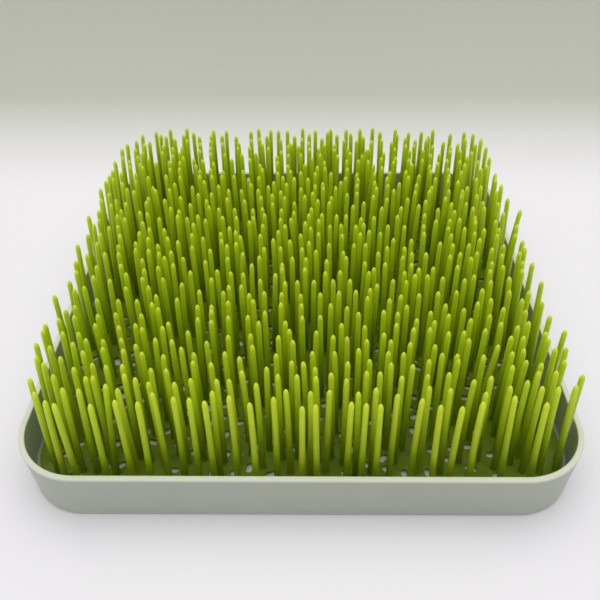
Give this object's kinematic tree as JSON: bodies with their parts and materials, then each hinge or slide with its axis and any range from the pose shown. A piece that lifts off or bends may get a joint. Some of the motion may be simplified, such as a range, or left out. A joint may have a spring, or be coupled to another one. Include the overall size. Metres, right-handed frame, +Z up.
{
  "type": "bottle drying rack",
  "caption": "Square countertop drying rack: a shallow drip tray with rounded corners and a lift-out insert of upright flexible blades on a pierced deck.",
  "frame": {"origin": "centre of the footprint, at the level that the tray stands on", "axes": "+Z up out of the tray along the blades, the way the insert lifts out; +X and +Y along the two pairs of sides, which are alike, and -Y is the side seen as the front"},
  "size_m": [0.2412, 0.2412, 0.0635],
  "materials": {
    "tray_plastic": "satin moulded plastic, pale sage grey",
    "insert_plastic": "satin flexible plastic, bright yellow-green"
  },
  "bodies": {
    "tray": {"drip_tray": "tray_plastic"},
    "insert": {"grass_deck": "insert_plastic", "deck_studs": "insert_plastic", "blade_row_01": "insert_plastic", "blade_row_02": "insert_plastic", "blade_row_03": "insert_plastic", "blade_row_04": "insert_plastic", "blade_row_05": "insert_plastic", "blade_row_06": "insert_plastic", "blade_row_07": "insert_plastic", "blade_row_08": "insert_plastic", "blade_row_09": "insert_plastic", "blade_row_10": "insert_plastic", "blade_row_11": "insert_plastic", "blade_row_12": "insert_plastic", "blade_row_13": "insert_plastic", "blade_row_14": "insert_plastic", "blade_row_15": "insert_plastic", "blade_row_16": "insert_plastic", "blade_row_17": "insert_plastic", "blade_row_18": "insert_plastic", "blade_row_19": "insert_plastic", "blade_row_20": "insert_plastic", "blade_row_21": "insert_plastic", "blade_row_22": "insert_plastic", "blade_row_23": "insert_plastic", "blade_row_24": "insert_plastic"}
  },
  "joints": [
    {"name": "insert_lift", "type": "slide", "parent": "tray", "child": "insert", "axis": [0, 0, 1], "range_m": [0, 0.08]}
  ]
}
